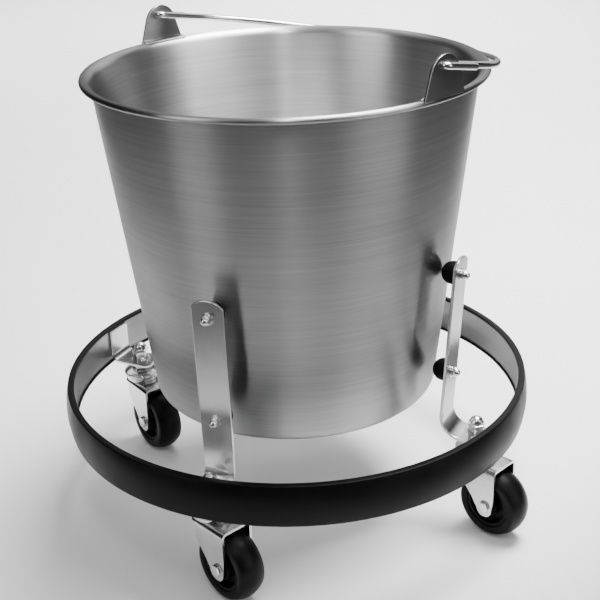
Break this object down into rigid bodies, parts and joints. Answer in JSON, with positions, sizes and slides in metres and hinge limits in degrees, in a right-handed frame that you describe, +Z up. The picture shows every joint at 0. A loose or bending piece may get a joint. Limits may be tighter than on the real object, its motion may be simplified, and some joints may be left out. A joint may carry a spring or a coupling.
{
  "type": "wheeled pail and bumper-ring carriage",
  "caption": "Tapered brushed steel pail with a wire bail, standing between padded uprights on a rubber-bumpered ring that rolls on swivel casters.",
  "frame": {"origin": "on the floor, on the pail's vertical axis", "axes": "+Z up along the pail's axis; +X through the first bracket and caster; the bail rests towards +Y"},
  "size_m": [0.4018, 0.386, 0.3929],
  "materials": {
    "band_steel": "satin",
    "bumper_rubber": "satin",
    "bar_steel": "satin",
    "pad_rubber": "matte",
    "fastener_chrome": "polished",
    "caster_zinc": "bright plated",
    "ball_chrome": "polished",
    "wheel_tyre": "semi-gloss",
    "wheel_hub": "satin",
    "bush_steel": "turned",
    "pail_steel": "circumferentially brushed",
    "ear_steel": "satin",
    "bail_steel": "drawn wire"
  },
  "bodies": {
    "frame": {"ring_band": "band_steel", "ring_bumper": "bumper_rubber", "upright_1": "bar_steel", "upright_2": "bar_steel", "upright_3": "bar_steel", "upright_4": "bar_steel", "pad_upper_1": "pad_rubber", "pad_upper_2": "pad_rubber", "pad_upper_3": "pad_rubber", "pad_upper_4": "pad_rubber", "pad_lower_1": "pad_rubber", "pad_lower_2": "pad_rubber", "pad_lower_3": "pad_rubber", "pad_lower_4": "pad_rubber", "pad_screws": "fastener_chrome", "pad_nuts": "fastener_chrome", "cap_nuts": "fastener_chrome", "stem_washers": "fastener_chrome", "caster_stem_1": "caster_zinc", "caster_stem_2": "caster_zinc", "caster_stem_3": "caster_zinc", "caster_stem_4": "caster_zinc", "upper_race_1": "caster_zinc", "upper_race_2": "caster_zinc", "upper_race_3": "caster_zinc", "upper_race_4": "caster_zinc"},
    "pail": {"pail_shell": "pail_steel", "ear_1": "ear_steel", "ear_2": "ear_steel"},
    "bail": {"bail": "bail_steel"},
    "caster_1": {"fork_1": "caster_zinc", "swivel_balls_1": "ball_chrome", "axle_1": "fastener_chrome", "axle_nut_1": "fastener_chrome"},
    "wheel_1": {"tyre_1": "wheel_tyre", "wheel_hub_1": "wheel_hub", "wheel_bush_1": "bush_steel"},
    "caster_2": {"fork_2": "caster_zinc", "swivel_balls_2": "ball_chrome", "axle_2": "fastener_chrome", "axle_nut_2": "fastener_chrome"},
    "wheel_2": {"tyre_2": "wheel_tyre", "wheel_hub_2": "wheel_hub", "wheel_bush_2": "bush_steel"},
    "caster_3": {"fork_3": "caster_zinc", "swivel_balls_3": "ball_chrome", "axle_3": "fastener_chrome", "axle_nut_3": "fastener_chrome"},
    "wheel_3": {"tyre_3": "wheel_tyre", "wheel_hub_3": "wheel_hub", "wheel_bush_3": "bush_steel"},
    "caster_4": {"fork_4": "caster_zinc", "swivel_balls_4": "ball_chrome", "axle_4": "fastener_chrome", "axle_nut_4": "fastener_chrome"},
    "wheel_4": {"tyre_4": "wheel_tyre", "wheel_hub_4": "wheel_hub", "wheel_bush_4": "bush_steel"}
  },
  "joints": [
    {"name": "pail_lift", "type": "slide", "parent": "frame", "child": "pail", "axis": [0, 0, 1], "range_m": [0, 0.2]},
    {"name": "bail_swing", "type": "hinge", "parent": "pail", "child": "bail", "pos_m": [0, 0, 0.3855], "axis": [0.9511, -0.309, 0], "range_deg": [0, 202]},
    {"name": "swivel_1", "type": "hinge", "parent": "frame", "child": "caster_1", "pos_m": [0.1615, 0, 0.07], "axis": [0, 0, 1], "continuous": true},
    {"name": "roll_1", "type": "hinge", "parent": "caster_1", "child": "wheel_1", "pos_m": [0.18067, -0.00571, 0.0286], "axis": [0.2857, 0.9583, 0], "continuous": true},
    {"name": "swivel_2", "type": "hinge", "parent": "frame", "child": "caster_2", "pos_m": [-0.01267, 0.161, 0.07], "axis": [0, 0, 1], "continuous": true},
    {"name": "roll_2", "type": "hinge", "parent": "caster_2", "child": "wheel_2", "pos_m": [0.006, 0.15383, 0.0286], "axis": [0.3584, 0.9336, 0], "continuous": true},
    {"name": "swivel_3", "type": "hinge", "parent": "frame", "child": "caster_3", "pos_m": [-0.1615, 0, 0.07], "axis": [0, 0, 1], "continuous": true},
    {"name": "roll_3", "type": "hinge", "parent": "caster_3", "child": "wheel_3", "pos_m": [-0.14348, -0.00867, 0.0286], "axis": [0.4337, 0.9011, 0], "continuous": true},
    {"name": "swivel_4", "type": "hinge", "parent": "frame", "child": "caster_4", "pos_m": [0.01267, -0.161, 0.07], "axis": [0, 0, 1], "continuous": true},
    {"name": "roll_4", "type": "hinge", "parent": "caster_4", "child": "wheel_4", "pos_m": [0.03158, -0.16751, 0.0286], "axis": [0.3256, 0.9455, 0], "continuous": true}
  ]
}
